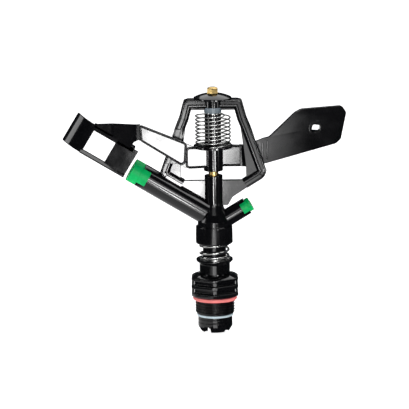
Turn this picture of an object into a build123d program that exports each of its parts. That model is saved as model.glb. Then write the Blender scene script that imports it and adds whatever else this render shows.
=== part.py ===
from build123d import *
import os
from math import cos, pi, radians, sin, tan

os.makedirs("parts", exist_ok=True)

# Impact sprinkler with a 3/4 inch male inlet, in millimetres.
# The Z axis is the turning axis. Heights below are measured from the underside of the grip nut,
# and the finished pieces are lifted so that z = 0 is the sealing face under the gasket.
# -X is where the jet goes, -Y is the side the arm swings out on.

# ---- inlet and bearing -------------------------------------------------
thread_d = 26.4            # G 3/4 outside diameter
thread_length = 10.7
gasket_d, gasket_thick = 29.3, 2.3
relief_d = 25.2            # undercut above the thread, where the gasket sits
grip_flats = 31.0          # hexagon across flats
grip_corner_d = 33.8       # chamfered corners stay inside this circle
grip_height = 14.9
groove_heights = (4.8, 10.2)
groove_width, groove_depth = 2.7, 1.9
neck_d, neck_top = 20.2, 22.0
flange_d, flange_bottom, flange_top = 24.3, 24.0, 25.3
tube_d, tube_bore = 15.4, 11.4
tube_top = 44.5
running_gap = 0.1          # radial gap of a turning fit
stack_bore_d, stack_depth = 21.0, 3.0
lower_washer_d, lower_washer_top = 24.2, -10.9
thrust_washer_thick = 1.0
ring_groove_heights, ring_groove_depth = (-15.2, -17.8), 0.4
collar_flange_d, collar_flange_top, collar_flange_low, foot_z = 22.8, -12.8, -20.3, -23.7
foot_d = 18.4
notch_width, notch_height, notch_turn = 4.9, 4.0, -34.0
seat_washer_top = 25.7
bearing_spring_d, bearing_wire = 20.0, 1.25
bearing_turns = 2.9

# ---- head body ---------------------------------------------------------
collar_d, collar_bottom, collar_top = 24.4, 36.5, 47.4
shoulder_d, shoulder_top = 22.0, 50.8
stem_d, stem_top = 12.1, 81.3
barrel_d, barrel_bore, barrel_length = 16.0, 12.0, 56.6
barrel_z, barrel_tilt = 53.0, 31.2
aux_d, aux_bore, aux_length = 11.5, 8.0, 25.8
aux_z, aux_tilt = 47.2, 31.2
frame_depth = 8.4          # rib of the frame, front to back
frame_web = 3.2
rib_width = 4.4
rib_end = 20.6             # half width of the plain web under the window
frame_outline = [(0, 132.6), (16.7, 132.4), (18.8, 130.6), (22.1, 120.4), (24.7, 114.0), (35.0, 85.6),
                 (35.2, 83.0), (33.4, 79.9), (22.4, 73.1), (12.4, 66.6), (9.4, 61.2), (0, 61.2)]
anvil_low, anvil_high = 92.0, 113.0
window_outline = [(0, 125.1), (16.4, 125.1), (19.3, 105.2), (21.5, 85.8), (21.6, 78.1), (0, 78.1)]
top_boss_d, top_boss_low = 12.7, 127.1
top_bush_d, top_bush_low = 11.4, 123.3
hub_washer_d, hub_washer_low = 10.4, 122.4
cap_d, cap_low, cap_rim, cap_rise = 25.0, 132.6, 0.9, 3.0
pin_d, pin_collar_d, pin_low, pin_high = 5.0, 6.5, 68.0, 138.6
pin_collar = (81.3, 84.3)
pin_tip_d, pin_tip_low = 4.0, 133.6
nut_flats, nut_low, nut_high = 6.9, 136.1, 140.3

# ---- nozzles -----------------------------------------------------------
nozzle_d, nozzle_end, nozzle_hole = 15.8, 63.4, 6.0
nozzle_plug_start, nozzle_throat = 44.0, 4.6
tongue_angle, tongue_start = 40.5, 50.7
aux_nozzle_d, aux_nozzle_end, aux_nozzle_hole = 9.3, 28.4, 3.0
aux_tongue_start, aux_tongue_width = 21.4, 7.0
aux_plug_start = 16.5
seal_thick, nozzle_seal_at, aux_seal_at = 1.2, 46.6, 18.3
straightener_start, straightener_end, straightener_vane = 20.0, 40.0, 0.8

# ---- swinging arm ------------------------------------------------------
arm_yaw, arm_offset = 12.0, 2.5
arm_depth, arm_web, paddle_thick = 4.4, 1.8, 3.2
hub_d, hub_low, hub_top = 12.8, 84.5, 100.0
plate_d, plate_top = 25.9, 101.6
sleeve_d, sleeve_top = 11.0, 122.2
bush_d, bush_length = 8.0, 6.0
spoon_plane = -7.0         # y of the spoon's front plate
spoon_start, spoon_end = 65.0, 111.7
spoon_low, spoon_high = -6.0, 15.1
spoon_window = (80.5, 97.4, -3.6, 11.3)   # along the jet from and to, across from and to
vane_from, vane_radius = 97.0, 16.0
paddle_hole_d, paddle_boss_d, paddle_hole_at = 5.5, 9.2, (68.0, 109.2)
neck_ribs = 3
arm_spring_d, arm_wire, arm_spring_top, arm_turns = 23.9, 1.1, 121.6, 8.0


def at_height(z):
    return Plane.XY.offset(z)


def disc(diameter, low, high):
    """Upright cylinder between two heights."""
    return extrude(at_height(low) * Circle(diameter / 2), high - low)


def ring(outside, inside, low, high):
    return disc(outside, low, high) - disc(inside, low - 1, high + 1)


def prism(points, depth, middle=0.0):
    """Side outline in X and Z, given a depth along Y about the plane y = middle."""
    face = make_face(Polyline(*[(x, z) for x, z in points], close=True))
    side = Plane(origin=(0, middle, 0), x_dir=(1, 0, 0), z_dir=(0, -1, 0))
    return extrude(side * face, depth / 2, both=True)


def tilted(z, tilt, towards):
    """Frame of a slanted tube: local X runs along the tube, local Y is up, local Z is Y."""
    c, s = cos(radians(tilt)), sin(radians(tilt))
    return Plane(origin=(0, 0, z), x_dir=(towards * c, 0, s), z_dir=(0, -towards, 0))


def across(frame, along):
    """Plane square to a slanted tube, this far along it."""
    return Plane(origin=frame.from_local_coords(Vector(along, 0, 0)),
                 x_dir=frame.y_dir, z_dir=frame.x_dir)


def along_tube(frame, diameter, start, end):
    return extrude(across(frame, start) * Circle(diameter / 2), end - start)


def helix_wire(radius, wire, low, high, turns):
    """Round wire wound at an even pitch between two heights, wire surface to wire surface."""
    rise = high - low - wire
    path = Pos(0, 0, low + wire / 2) * Helix(rise / turns, rise, radius)
    start = Plane(origin=path @ 0, z_dir=path % 0)
    return sweep(start * Circle(wire / 2), path=path, is_frenet=True)


def mirrored(points):
    """Outline on +X, carried round to its mirror image on -X."""
    return points + [(-x, z) for x, z in reversed(points) if x > 0]


# ---- inlet and bearing -------------------------------------------------
def inlet_nipple():
    """Fixed male fitting: ribbed hexagonal grip, neck and spring flange, threaded below."""
    hexagon = Rot(0, 0, 30) * RegularPolygon(grip_flats / 2, 6, major_radius=False)
    grip = extrude(hexagon, grip_height)
    round_off = chamfer(disc(grip_corner_d + 3, 0, grip_height).edges(), 2.0)
    grip = grip & round_off
    slim = Rot(0, 0, 30) * RegularPolygon(grip_flats / 2 - groove_depth, 6, major_radius=False)
    for z in groove_heights:
        low = at_height(z - groove_width / 2)
        grip -= extrude(low * Circle(grip_flats), groove_width) - extrude(low * slim, groove_width)
    neck = disc(neck_d, grip_height, neck_top)
    cone = loft([at_height(neck_top) * Circle(neck_d / 2), at_height(flange_bottom) * Circle(flange_d / 2)])
    flange = disc(flange_d, flange_bottom, flange_top)
    shank = disc(thread_d, -thread_length, -gasket_thick)
    shank = chamfer(shank.edges().group_by(Axis.Z)[0], 0.9) + disc(relief_d, -gasket_thick, 0)
    solid = grip + neck + cone + flange + shank
    solid -= disc(tube_d + 2 * running_gap, -thread_length - 1, flange_top + 1)
    return solid - disc(stack_bore_d, -thread_length - 1, -thread_length + stack_depth)


def bearing_tube():
    """Turning tube that the head screws onto, with a notched foot below the washers."""
    foot = disc(collar_flange_d, collar_flange_low, collar_flange_top)
    foot += loft([at_height(foot_z) * Circle(foot_d / 2),
                  at_height(collar_flange_low) * Circle(collar_flange_d / 2)])
    tube = foot + disc(tube_d, collar_flange_top, tube_top)
    tube -= disc(tube_bore, foot_z - 1, tube_top + 1)
    for z in ring_groove_heights:
        tube -= ring(collar_flange_d + 2, collar_flange_d - 2 * ring_groove_depth, z, z + 0.6)
    for turn in (0, 90):
        slot = Box(40, notch_width, 2 * notch_height)
        tube -= Pos(0, 0, foot_z) * Rot(0, 0, notch_turn + turn) * slot
    return tube


def stack_ring(outside, low, high):
    return ring(outside, tube_d + 0.5, low, high)


# ---- head body ---------------------------------------------------------
def frame_loop():
    """Closed bell-shaped frame: thin web with a deep rib round its edge."""
    outer = mirrored(frame_outline)
    side = Plane(origin=(0, 0, 0), x_dir=(1, 0, 0), z_dir=(0, -1, 0))
    sheet = side * make_face(Polyline(*outer, close=True))
    inset = side * offset(make_face(Polyline(*outer, close=True)), -rib_width)
    rib = extrude(sheet, frame_depth / 2, both=True) - extrude(inset, frame_depth, both=True)
    rib -= prism([(-rib_end, 50), (rib_end, 50), (rib_end, 90), (-rib_end, 90)], 3 * frame_depth)
    web = extrude(sheet, frame_web / 2, both=True)
    anvil = prism([(-20.4, anvil_high), (-25.0, anvil_high), (-30.9, anvil_low), (-20.4, anvil_low)],
                  frame_depth / 2, -frame_depth / 4)
    window = prism(mirrored(window_outline), 3 * frame_depth)
    window = fillet(window.edges().filter_by(Axis.Y), 1.6)
    return (rib + web + anvil) - window


def head_body():
    """One moulding: collar, stem, range barrel, side barrel and frame, with its waterway."""
    barrel = tilted(barrel_z, barrel_tilt, -1)
    side_barrel = tilted(aux_z, aux_tilt, 1)
    collar = disc(collar_d, collar_bottom, collar_top)
    collar = fillet(collar.edges().group_by(Axis.Z)[0], 1.9)
    solid = collar + disc(shoulder_d, collar_top, shoulder_top)
    solid += loft([at_height(shoulder_top) * Circle(shoulder_d / 2), at_height(62.0) * Circle(stem_d / 2)])
    solid += disc(stem_d, shoulder_top, stem_top)
    solid += along_tube(barrel, barrel_d, 0, barrel_length)
    solid += along_tube(side_barrel, aux_d, 0, aux_length)
    solid += frame_loop()
    solid += disc(top_boss_d, top_boss_low, cap_low - 1)
    solid -= disc(tube_d + 0.1, collar_bottom - 1, tube_top)
    solid -= disc(tube_bore, collar_bottom, barrel_z)
    solid -= Pos(0, 0, barrel_z) * Sphere(barrel_bore / 2)
    solid -= along_tube(barrel, barrel_bore, 0, barrel_length + 1)
    solid -= along_tube(side_barrel, aux_bore, 3, aux_length + 1)
    solid -= disc(top_bush_d, top_bush_low - 1, top_boss_low)
    solid -= disc(pin_d, pin_low, cap_low + 2)
    solid -= tongue(barrel, barrel_d + 2, tongue_start - 0.15, barrel_length + 1, 0.8)
    notch = Box(2 * (aux_length - aux_tongue_start), aux_tongue_width + 0.4, aux_d)
    return solid - side_barrel * Pos(aux_length, 0, aux_d / 2) * notch


def tongue(frame, diameter, start, end, slack=0.0):
    """Wedge of a tube's front wall, for the catch that keys a nozzle in its barrel."""
    half = tongue_angle + slack
    reach = diameter
    wedge = Polyline((0, 0), (reach * sin(radians(half)), -reach * cos(radians(half))),
                     (0, -reach * 1.2),
                     (-reach * sin(radians(half)), -reach * cos(radians(half))), close=True)
    square = Plane(origin=frame.from_local_coords(Vector(start, 0, 0)),
                   x_dir=frame.y_dir, z_dir=frame.x_dir)
    if abs(square.y_dir.Y - 1) > 0.01:
        square = Plane(origin=square.origin, x_dir=-square.x_dir, z_dir=square.z_dir)
    sector = extrude(square * make_face(wedge), end - start)
    band = along_tube(frame, diameter, start, end) - along_tube(frame, barrel_bore + 0.4, start - 1, end + 1)
    return sector & band


def dome_cap():
    """Round cover on top of the frame, clamped by the nut."""
    rim = disc(cap_d, cap_low, cap_low + cap_rim)
    radius = ((cap_d / 2) ** 2 + cap_rise ** 2) / (2 * cap_rise)
    ball = Pos(0, 0, cap_low + cap_rim + cap_rise - radius) * Sphere(radius)
    dome = ball & disc(cap_d, cap_low + cap_rim, cap_low + cap_rim + cap_rise + 1)
    flat = disc(nut_flats + 1.6, nut_low, nut_low + 2)
    return (rim + dome) - flat - disc(pin_d + 0.2, cap_low - 1, cap_low + 8)


def pivot_pin():
    pin = disc(pin_d, pin_low, pin_tip_low) + disc(pin_tip_d, pin_tip_low, pin_high)
    return pin + disc(pin_collar_d, *pin_collar)


def cap_nut():
    hexagon = RegularPolygon(nut_flats / 2, 6, major_radius=False)
    nut = extrude(at_height(nut_low) * hexagon, nut_high - nut_low)
    nut = nut & chamfer(disc(nut_flats + 1.1, nut_low, nut_high).edges().group_by(Axis.Z)[-1], 1.0)
    return nut - disc(pin_tip_d + 0.1, nut_low - 1, pin_high + 0.3)


# ---- nozzles -----------------------------------------------------------
def main_nozzle():
    """Plug nozzle with a wide face and a catch on its front side."""
    barrel = tilted(barrel_z, barrel_tilt, -1)
    plug = along_tube(barrel, barrel_bore - 0.2, nozzle_plug_start, barrel_length + 1)
    face = along_tube(barrel, nozzle_d, barrel_length + 0.05, nozzle_end)
    face = chamfer(face.edges().filter_by(GeomType.CIRCLE).sort_by(SortBy.LENGTH)[-2:], 0.5)
    solid = plug + face + tongue(barrel, nozzle_d, tongue_start, barrel_length + 1)
    solid += along_tube(barrel, barrel_bore - 0.2, tongue_start, barrel_length + 1)
    bore = loft([across(barrel, nozzle_plug_start - 0.1) * Circle(nozzle_throat),
                 across(barrel, nozzle_end - 4) * Circle(nozzle_hole / 2)])
    solid -= bore + along_tube(barrel, nozzle_hole, nozzle_end - 4.5, nozzle_end + 1)
    return solid - seal_groove(barrel, barrel_bore, nozzle_seal_at)


def seal_groove(frame, bore, along):
    groove = along_tube(frame, bore + 1, along - 0.1, along + seal_thick + 0.1)
    return groove - along_tube(frame, bore - 2.0, along - 1, along + seal_thick + 1)


def nozzle_seal(frame, bore, along):
    """Seal ring in a plug's groove."""
    outer = along_tube(frame, bore - 0.04, along, along + seal_thick)
    return outer - along_tube(frame, bore - 1.96, along - 1, along + seal_thick + 1)


def stream_straightener():
    """Crossed vanes in a thin sleeve, which calm the water before the nozzle."""
    barrel = tilted(barrel_z, barrel_tilt, -1)
    start, end, vane = straightener_start, straightener_end, straightener_vane
    sleeve = along_tube(barrel, barrel_bore - 0.2, start, end)
    sleeve -= along_tube(barrel, barrel_bore - 1.6, start - 1, end + 1)
    vanes = Box(end - start, vane, barrel_bore - vane) + Box(end - start, barrel_bore - vane, vane)
    return sleeve + barrel * Pos((start + end) / 2, 0, 0) * vanes


def aux_nozzle():
    """Small plug nozzle for the water close in, with its own catch and a pry notch."""
    side = tilted(aux_z, aux_tilt, 1)
    plug = along_tube(side, aux_bore - 0.2, aux_plug_start, aux_length + 1)
    face = along_tube(side, aux_nozzle_d, aux_length + 0.05, aux_nozzle_end)
    catch = Box(aux_nozzle_end - aux_tongue_start, aux_tongue_width, aux_d / 2 - 2.5)
    catch = side * Pos((aux_nozzle_end + aux_tongue_start) / 2, 0, aux_d / 4 + 1.25) * catch
    catch = catch & along_tube(side, aux_d, aux_plug_start, aux_nozzle_end)
    solid = plug + face + catch
    solid -= along_tube(side, aux_nozzle_hole, aux_plug_start - 1, aux_nozzle_end + 1)
    solid -= along_tube(side, aux_nozzle_hole + 2.4, aux_plug_start - 1, aux_plug_start + 5.5)
    solid -= side * Pos(aux_nozzle_end, -aux_nozzle_d / 2, 0) * Box(2.6, 1.6, 3)
    return solid - seal_groove(side, aux_bore, aux_seal_at)


# ---- swinging arm ------------------------------------------------------
def arm_y(x):
    """Middle plane of the straight part of the arm."""
    side = -1 if x < 0 else 1
    return side * arm_offset + x * tan(radians(arm_yaw))


def arm_sheet(depth):
    """The arm's plan, a bent strip of this depth, stood up over the arm's height."""
    left = [(0, -arm_offset), (-51.0, arm_y(-51.0)), (-66.0, spoon_plane), (-86.0, spoon_plane)]
    right = [(0, arm_offset), (90.0, arm_y(90.0))]
    sheet = None
    for run in (left, right):
        for (x0, y0), (x1, y1) in zip(run, run[1:]):
            strip = Plane(origin=(x0, y0, 0), x_dir=(x1 - x0, y1 - y0, 0), z_dir=(0, 0, 1))
            length = ((x1 - x0) ** 2 + (y1 - y0) ** 2) ** 0.5
            wall = strip * Pos(length / 2, 0, 100) * Box(length, depth, 60)
            knee = Pos(x0, y0, 100) * Cylinder(depth / 2, 60)
            piece = wall + knee
            sheet = piece if sheet is None else sheet + piece
    return sheet


def outline_prism(points):
    return prism(points, 90)


def spoon():
    """Open trough on the jet's line: entry plate, two rails and the curved end vane."""
    jet = tilted(barrel_z, barrel_tilt, -1)
    front = spoon_plane

    def block(u0, u1, v0, v1, w0, w1):
        size = Box(u1 - u0, v1 - v0, w1 - w0)
        return jet * Pos((u0 + u1) / 2, (v0 + v1) / 2, (w0 + w1) / 2) * size

    half = arm_web / 2
    window_start, window_end, window_low, window_high = spoon_window
    entry = block(spoon_start, window_start, spoon_low, spoon_high, front - half, front + half)
    rail_end = window_end + 1.0
    top = block(spoon_start + 3, rail_end, window_high, spoon_high, front - half, front + 7)
    bottom = block(spoon_start, rail_end, spoon_low, window_low, front - half - 2.0, front + 3)
    middle = jet.from_local_coords(Vector(vane_from, 0, front - half + vane_radius))
    round_plane = Plane(origin=middle, x_dir=jet.x_dir, z_dir=jet.y_dir)
    shell = round_plane * (Circle(vane_radius) - Circle(vane_radius - arm_web))
    vane = extrude(shell, spoon_high) + extrude(shell, spoon_low)
    kept = block(window_end, spoon_end, spoon_low, spoon_high, front - half, front + vane_radius / 2)
    return entry + top + bottom + (vane & kept)


def swing_arm():
    """Spring-loaded arm: hub and spring plate, spoon on the jet side, paddle on the other."""
    left = [(0, 87.0), (-18.5, 87.2), (-46.8, 106.3), (-49.0, 108.0), (-52.2, 106.4), (-54.9, 101.6),
            (-81.0, 116.4), (-80.0, 117.8), (-48.6, 118.3), (-17.2, 104.0), (-13.0, 101.5), (0, 100.6)]
    left_windows = [
        [(-7.4, 88.4), (-16.6, 88.4), (-16.6, 99.2), (-7.4, 99.2)],
        [(-19.6, 89.8), (-45.4, 107.2), (-46.4, 115.6), (-18.4, 102.4)],
        [(-50.2, 109.0), (-54.6, 105.0), (-76.0, 116.6), (-49.6, 117.0)],
    ]
    right = [(0, 86.6), (22.4, 85.8), (34.5, 87.0), (81.4, 97.9), (84.7, 100.8), (88.5, 118.6),
             (85.6, 123.3), (58.6, 122.4), (54.4, 120.4), (37.0, 104.6), (33.2, 103.9), (28.5, 102.2),
             (22.4, 99.6), (0, 101.0)]
    right_windows = [
        [(7.4, 88.2), (17.4, 87.6), (17.4, 98.4), (7.4, 99.2)],
        [(22.2, 80.0), (95.0, 80.0), (95.0, 130.0), (22.2, 130.0)],
    ]
    deep, thin = arm_sheet(arm_depth), arm_sheet(arm_web)
    paddle = arm_sheet(paddle_thick) & outline_prism(right) & outline_prism(right_windows[1])
    solid = None
    for outline, windows in ((left, left_windows), (right, right_windows)):
        shape = outline_prism(outline)
        rims = shape
        for window in windows:
            rims = rims - outline_prism(window)
        half = (deep & rims) + (thin & shape)
        solid = half if solid is None else solid + half
    solid += paddle
    x_boss, z_boss = paddle_hole_at
    boss_at = Plane(origin=(x_boss, arm_y(x_boss), z_boss), x_dir=(1, tan(radians(arm_yaw)), 0),
                    z_dir=(-tan(radians(arm_yaw)), 1, 0))
    solid += extrude(boss_at * Circle(paddle_boss_d / 2), paddle_thick / 2 + 0.5, both=True)
    for i in range(neck_ribs):
        x = 28.4 + 3.2 * i
        solid += prism([(x, 89.6 + 0.5 * i), (x + 1.2, 89.9 + 0.5 * i), (x + 1.2, 101.4 + 1.0 * i),
                        (x, 101.0 + 1.0 * i)], arm_depth, arm_y(x + 0.6))
    solid += prism([(-52.6, 104.0), (-54.2, 105.0), (-58.2, 98.6), (-56.6, 97.6)], 2.6, arm_y(-50) + 3.0)
    solid -= extrude(boss_at * Circle(paddle_hole_d / 2), 8, both=True)
    solid += spoon()
    solid += disc(hub_d, hub_low, hub_top) + disc(sleeve_d, hub_top, sleeve_top)
    plate = disc(plate_d, hub_top - 0.1, plate_top)
    solid += plate - ring(plate_d - 1.4, sleeve_d + 9.2, plate_top - 0.6, plate_top + 1)
    solid -= disc(bush_d - 1.0, hub_low - 1, sleeve_top + 1)
    solid -= disc(bush_d, hub_low - 1, hub_low + bush_length)
    return solid - disc(bush_d, sleeve_top - bush_length, sleeve_top + 1)


def arm_bush(low):
    return ring(bush_d, pin_d + 0.12, low, low + bush_length)


def arm_spring():
    """Torsion spring, tied to the arm below and to the frame's boss above."""
    radius = (arm_spring_d - arm_wire) / 2
    return helix_wire(radius, arm_wire, plate_top - 0.5, arm_spring_top, arm_turns)


barrel_line = tilted(barrel_z, barrel_tilt, -1)
side_line = tilted(aux_z, aux_tilt, 1)
stack_top = -thread_length + stack_depth
nodes = {
    "inlet_nipple": inlet_nipple(),
    "inlet_gasket": ring(gasket_d, relief_d + 0.2, -gasket_thick, 0),
    "bearing_tube": bearing_tube(),
    "upper_thrust_washer": stack_ring(stack_bore_d - 0.4, stack_top - thrust_washer_thick, stack_top),
    "seal_washer": stack_ring(stack_bore_d - 0.4, lower_washer_top, stack_top - thrust_washer_thick),
    "lower_thrust_washer": stack_ring(lower_washer_d, collar_flange_top, lower_washer_top),
    "spring_seat_washer": stack_ring(bearing_spring_d + 0.6, flange_top, seat_washer_top),
    "bearing_spring": helix_wire((bearing_spring_d - bearing_wire) / 2, bearing_wire,
                                 seat_washer_top + 0.03, collar_bottom - 0.03, bearing_turns),
    "head_body": head_body(),
    "dome_cap": dome_cap(),
    "pivot_pin": pivot_pin(),
    "cap_nut": cap_nut(),
    "top_bush": ring(top_bush_d, pin_d + 0.1, top_bush_low, top_boss_low),
    "hub_washer": ring(hub_washer_d, pin_d + 0.2, hub_washer_low, top_bush_low),
    "main_nozzle": main_nozzle(),
    "main_nozzle_seal": nozzle_seal(barrel_line, barrel_bore, nozzle_seal_at),
    "stream_straightener": stream_straightener(),
    "aux_nozzle": aux_nozzle(),
    "aux_nozzle_seal": nozzle_seal(side_line, aux_bore, aux_seal_at),
    "swing_arm": swing_arm(),
    "arm_bush_lower": arm_bush(hub_low),
    "arm_bush_upper": arm_bush(sleeve_top - bush_length),
    "arm_spring": arm_spring(),
}
for name, shape in nodes.items():
    export_step(Pos(0, 0, gasket_thick) * shape, os.path.join("parts", name + ".step"))
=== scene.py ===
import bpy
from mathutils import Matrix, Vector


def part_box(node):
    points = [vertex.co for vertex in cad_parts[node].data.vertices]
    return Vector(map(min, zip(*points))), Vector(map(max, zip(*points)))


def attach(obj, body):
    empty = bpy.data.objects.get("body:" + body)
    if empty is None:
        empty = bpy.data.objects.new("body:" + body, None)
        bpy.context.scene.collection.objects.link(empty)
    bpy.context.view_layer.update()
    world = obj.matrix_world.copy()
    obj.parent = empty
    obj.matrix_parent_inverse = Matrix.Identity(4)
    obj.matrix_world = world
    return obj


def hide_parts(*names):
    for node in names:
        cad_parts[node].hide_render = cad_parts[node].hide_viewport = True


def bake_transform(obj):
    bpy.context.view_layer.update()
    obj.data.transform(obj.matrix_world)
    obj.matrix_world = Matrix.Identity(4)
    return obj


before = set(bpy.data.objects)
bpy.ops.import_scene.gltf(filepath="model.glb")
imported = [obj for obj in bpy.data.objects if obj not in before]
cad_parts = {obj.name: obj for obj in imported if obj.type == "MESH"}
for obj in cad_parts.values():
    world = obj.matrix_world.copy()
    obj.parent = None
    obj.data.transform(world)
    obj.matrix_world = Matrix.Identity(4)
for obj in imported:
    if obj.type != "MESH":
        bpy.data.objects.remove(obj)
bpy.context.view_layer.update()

from math import cos, pi, radians, sin, tan

import bmesh
import bpy
import numpy as np
from mathutils import Matrix, Vector

print("frame loaded:", len(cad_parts), "nodes")

# Everything below is worked out in millimetres, with heights from the grip's underside, and turned
# to metres and lifted to the frame's own origin when a mesh is made.
mm = 0.001
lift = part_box("inlet_gasket")[1][2] / mm


# A node's lowest and highest corner in millimetres.
def boxMm(node):
    low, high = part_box(node)
    return np.array(low) / mm - (0, 0, lift), np.array(high) / mm - (0, 0, lift)


# Every corner becomes an arc: the arc's points lie on the circle that touches both edges,
# at centre + r * (sin, cos) swept through the turn of the corner.
def rounded(points, radius, closed=True, steps=6):
    p = np.asarray(points, float)
    r = np.broadcast_to(np.asarray(radius, float), (len(p),)).copy()
    before, after = np.roll(p, 1, 0) - p, np.roll(p, -1, 0) - p
    lb, la = np.linalg.norm(before, axis=1), np.linalg.norm(after, axis=1)
    before, after = before / lb[:, None], after / la[:, None]
    half = np.arccos(np.clip((before * after).sum(1), -1, 1)) / 2      # half the inside angle
    reach = np.minimum(r / np.tan(half), 0.49 * np.minimum(lb, la))
    r = reach * np.tan(half)
    middle = before + after
    middle /= np.maximum(np.linalg.norm(middle, axis=1), 1e-9)[:, None]
    centre = p + middle * (r / np.maximum(np.sin(half), 1e-6))[:, None]
    start, end = p + before * reach[:, None] - centre, p + after * reach[:, None] - centre
    turn = np.linspace(0, 1, steps)
    total = pi - 2 * half
    a = np.sin((1 - turn) * total[:, None]) / np.maximum(np.sin(total), 1e-6)[:, None]
    b = np.sin(turn * total[:, None]) / np.maximum(np.sin(total), 1e-6)[:, None]
    arcs = centre[:, None] + a[..., None] * start[:, None] + b[..., None] * end[:, None]
    flat = (total < 1e-3) | (r < 1e-4)
    arcs[flat] = p[flat][:, None]
    if not closed:
        arcs[0], arcs[-1] = p[0], p[-1]
    out = arcs.reshape(-1, 2)
    keep = np.ones(len(out), bool)
    keep[1:] = np.linalg.norm(np.diff(out, axis=0), axis=1) > 1e-5
    return out[keep]


# A grid of points is a surface: point (i, j) joins (i+1, j), (i+1, j+1) and (i, j+1).
# loopRows and loopColumns join the last row or column back to the first, and caps close the ends.
def gridFaces(rows, columns, loopRows=False, loopColumns=False, caps=False):
    ids = np.arange(rows * columns).reshape(rows, columns)
    wide = np.concatenate([ids, ids[:1]]) if loopRows else ids
    wide = np.concatenate([wide, wide[:, :1]], 1) if loopColumns else wide
    quads = np.stack([wide[:-1, :-1], wide[:-1, 1:], wide[1:, 1:], wide[1:, :-1]], -1)
    faces = quads.reshape(-1, 4).tolist()
    if caps:
        faces += [ids[0, ::-1].tolist(), ids[-1].tolist()]
    return faces


def sheetOf(points, **joins):
    points = np.asarray(points, float)
    return points.reshape(-1, 3), gridFaces(*points.shape[:2], **joins)


# Lathe: (radius, height) along the profile, turned through all angles about Z.
def turned(profile, segments=112, loop=True):
    profile = np.asarray(profile, float)
    angle = np.arange(segments) * 2 * pi / segments
    r, z = profile[:, :1], profile[:, 1:]
    grid = np.stack([r * np.cos(angle), r * np.sin(angle), z + 0 * angle], -1)
    return sheetOf(grid, loopRows=loop, loopColumns=True)


# Section (a, depth) carried along a flat path: place(x + nx * a, depth, z + nz * a), n square to the path.
def swept(path, section, place, closed=True):
    path, section = np.asarray(path, float), np.asarray(section, float)
    if closed:
        run = np.roll(path, -1, 0) - np.roll(path, 1, 0)
    else:
        run = np.gradient(path, axis=0)
    run /= np.maximum(np.linalg.norm(run, axis=1), 1e-9)[:, None]
    side = np.stack([-run[:, 1], run[:, 0]], 1)
    flat = path[:, None] + side[:, None] * section[None, :, :1]
    depth = np.broadcast_to(section[None, :, 1], flat.shape[:2])
    return sheetOf(place(flat[..., 0], depth, flat[..., 1]),
                   loopRows=closed, loopColumns=True, caps=not closed)


# Rounded rectangle, centred, as the section of a rail: width across the path, depth front to back.
def railSection(width, depth, edge):
    w, d = width / 2, depth / 2
    return rounded([(-w, -d), (w, -d), (w, d), (-w, d)], edge, steps=5)


# Flat plate with rounded edges: the outline shrinks by edge * (1 - cos) while the depth grows by edge * sin.
def plate(outline, thickness, edge, place):
    outline = np.asarray(outline, float)
    run = np.roll(outline, -1, 0) - np.roll(outline, 1, 0)
    run /= np.maximum(np.linalg.norm(run, axis=1), 1e-9)[:, None]
    inward = np.stack([-run[:, 1], run[:, 0]], 1)
    if (outline[:, 0] * np.roll(outline[:, 1], -1) - np.roll(outline[:, 0], -1) * outline[:, 1]).sum() < 0:
        inward = -inward
    turn = np.linspace(0, pi / 2, 5)
    back = turn[::-1]
    inset = np.concatenate([edge * (1 - np.sin(turn)), edge * (1 - np.sin(back))])
    half = thickness / 2
    depth = np.concatenate([edge * (1 - np.cos(turn)) - half, half - edge * (1 - np.cos(back))])
    flat = outline[None] + inward[None] * inset[:, None, None]
    return sheetOf(place(flat[..., 0], depth[:, None] + 0 * flat[..., 0], flat[..., 1]),
                   loopColumns=True, caps=True)


# Round wire round a centre line: line + r * (cos * n + sin * b), with n and b square to the line.
def wireAlong(line, radius, sides=12):
    line = np.asarray(line, float)
    run = np.gradient(line, axis=0)
    run /= np.linalg.norm(run, axis=1)[:, None]
    up = np.array([0.0, 0.0, 1.0])
    n = up - run * (run @ up)[:, None]
    n /= np.linalg.norm(n, axis=1)[:, None]
    b = np.cross(run, n)
    angle = np.arange(sides) * 2 * pi / sides
    ring = n[:, None] * np.cos(angle)[None, :, None] + b[:, None] * np.sin(angle)[None, :, None]
    return sheetOf(line[:, None] + radius * ring, loopColumns=True, caps=True)


# One mesh from several closed shells, with every shell's faces pointing out.
def makePiece(name, shells, material, body, nodes=(), smoothAngle=38):
    verts = (np.concatenate([v for v, f in shells]) + (0, 0, lift)) * mm
    starts = np.cumsum([0] + [len(v) for v, f in shells])
    faces = [[i + start for i in face] for (v, f), start in zip(shells, starts) for face in f]
    mesh = bpy.data.meshes.new(name)
    mesh.from_pydata(verts.tolist(), [], faces)
    work = bmesh.new()
    work.from_mesh(mesh)
    weld, sliver = 2e-6, 1e-6                                   # metres
    bmesh.ops.remove_doubles(work, verts=work.verts, dist=weld)
    bmesh.ops.dissolve_degenerate(work, edges=work.edges, dist=sliver)
    bmesh.ops.recalc_face_normals(work, faces=work.faces)
    work.to_mesh(mesh)
    work.free()
    mesh.polygons.foreach_set("use_smooth", np.ones(len(mesh.polygons), bool))
    mesh.set_sharp_from_angle(angle=radians(smoothAngle))
    piece = bpy.data.objects.new(name, mesh)
    bpy.context.scene.collection.objects.link(piece)
    mesh.materials.append(material)
    if body:
        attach(piece, body)
    if nodes:
        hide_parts(*nodes)
    if body:
        weigh = piece.modifiers.new("weigh", "WEIGHTED_NORMAL")      # large flat faces keep their own normal
        weigh.keep_sharp = True
    return piece


# Side view straight on: depth is along Y.
def straight(x, depth, z):
    return np.stack([x, depth, z], -1)


# sRGB hex to linear light: ((c + 0.055) / 1.055) to the power 2.4, and c / 12.92 near black.
def linear(hexColour):
    parts = [int(hexColour[i:i + 2], 16) / 255 for i in (1, 3, 5)]
    return [c / 12.92 if c <= 0.04045 else ((c + 0.055) / 1.055) ** 2.4 for c in parts] + [1.0]


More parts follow.
